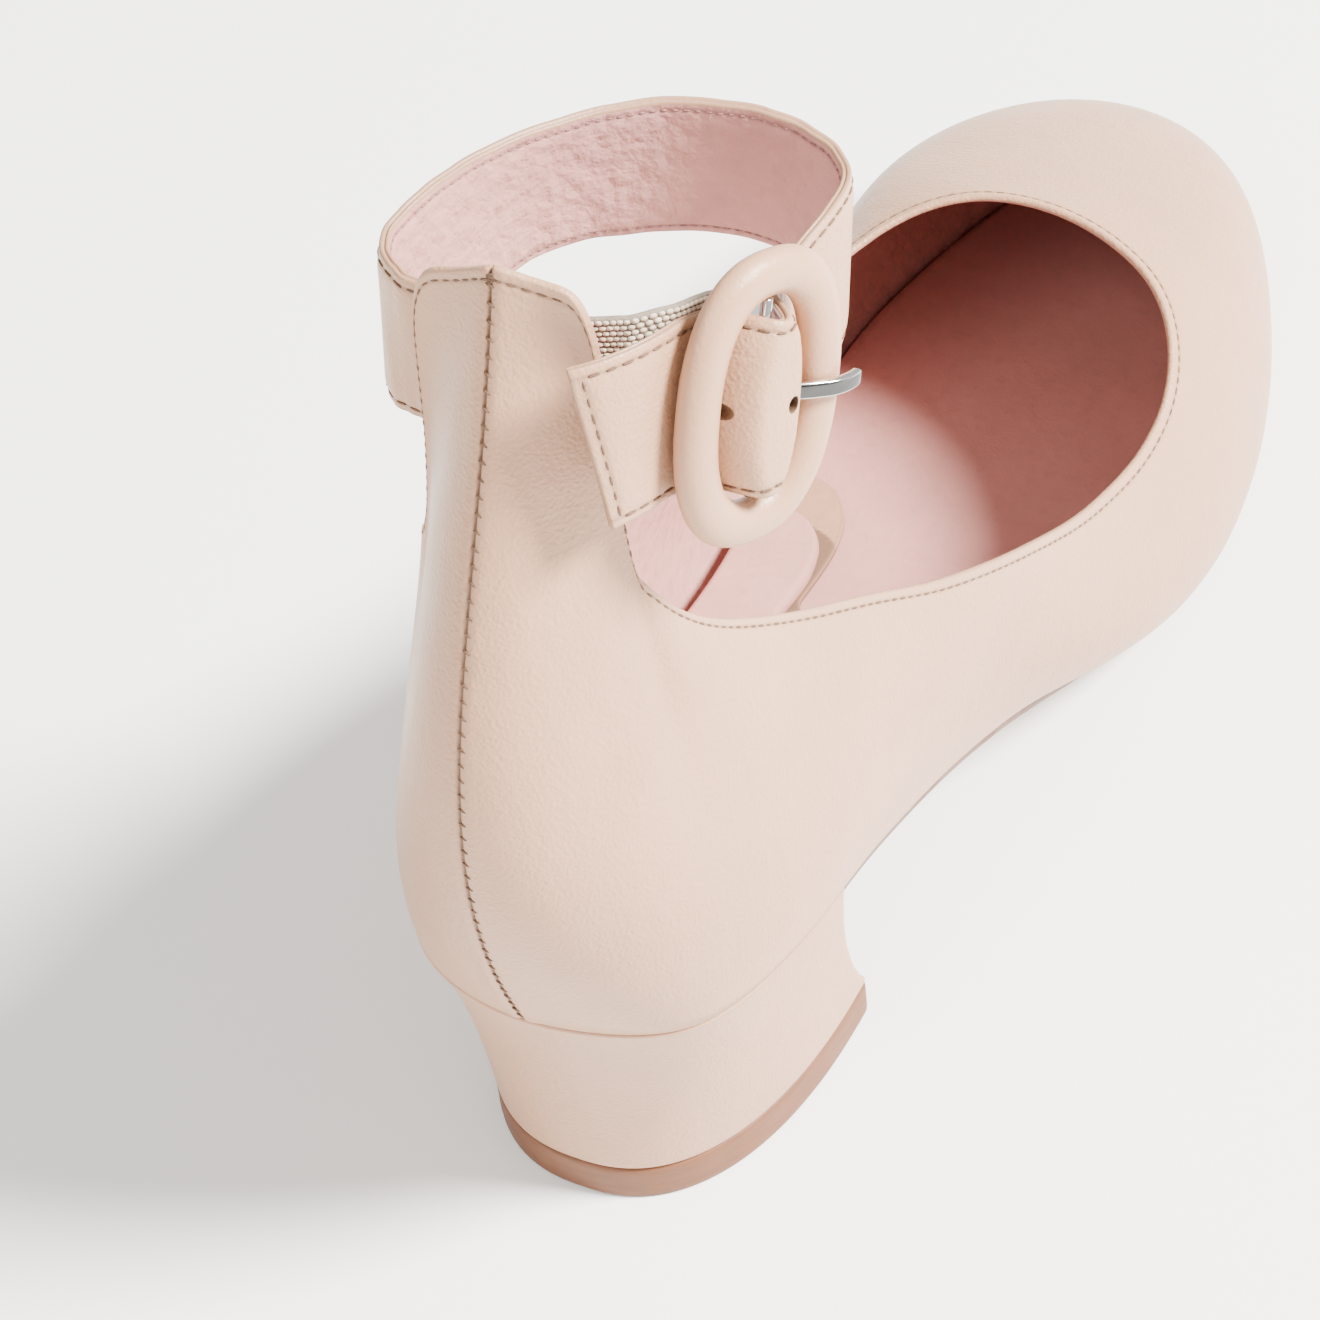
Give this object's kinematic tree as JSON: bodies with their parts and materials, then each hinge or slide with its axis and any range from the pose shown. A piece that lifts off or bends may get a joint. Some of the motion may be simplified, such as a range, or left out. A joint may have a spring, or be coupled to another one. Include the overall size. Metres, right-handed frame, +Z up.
{
  "type": "block heel mary jane pump",
  "caption": "Smooth leather mary jane pump for the right foot, with a covered block heel, a high heel tab and a buckled ankle strap on a short elastic.",
  "frame": {"origin": "middle of the shoe's bounding box in plan, on the floor", "axes": "+Y runs from the heel to the toe, +X to the outer side of the right foot, +Z up from the floor"},
  "size_m": [0.082, 0.2388, 0.1684],
  "materials": {
    "upper_leather": "smooth nude leather with a soft sheen",
    "sole_leather": "brown leather sole",
    "heel_cover": "smooth nude leather over the block",
    "top_piece": "matt tan rubber",
    "lining": "matt pink lining leather",
    "sock_lining": "matt pink lining leather",
    "cushion_lining": "matt pink lining leather, padded",
    "strap_leather": "smooth nude leather, pink lining inside",
    "elastic": "woven beige elastic",
    "buckle_cover": "smooth nude leather over the ring",
    "buckle_metal": "polished nickel"
  },
  "bodies": {
    "root": {"upper": "upper_leather", "outsole": "sole_leather", "heel_block": "heel_cover", "heel_lift": "top_piece", "insole": "lining", "heel_sock": "sock_lining", "heel_cushion": "cushion_lining", "ankle_strap": "strap_leather", "elastic_tab": "elastic", "buckle_ring": "buckle_cover", "buckle_bar": "buckle_metal", "buckle_prong": "buckle_metal"}
  },
  "joints": []
}
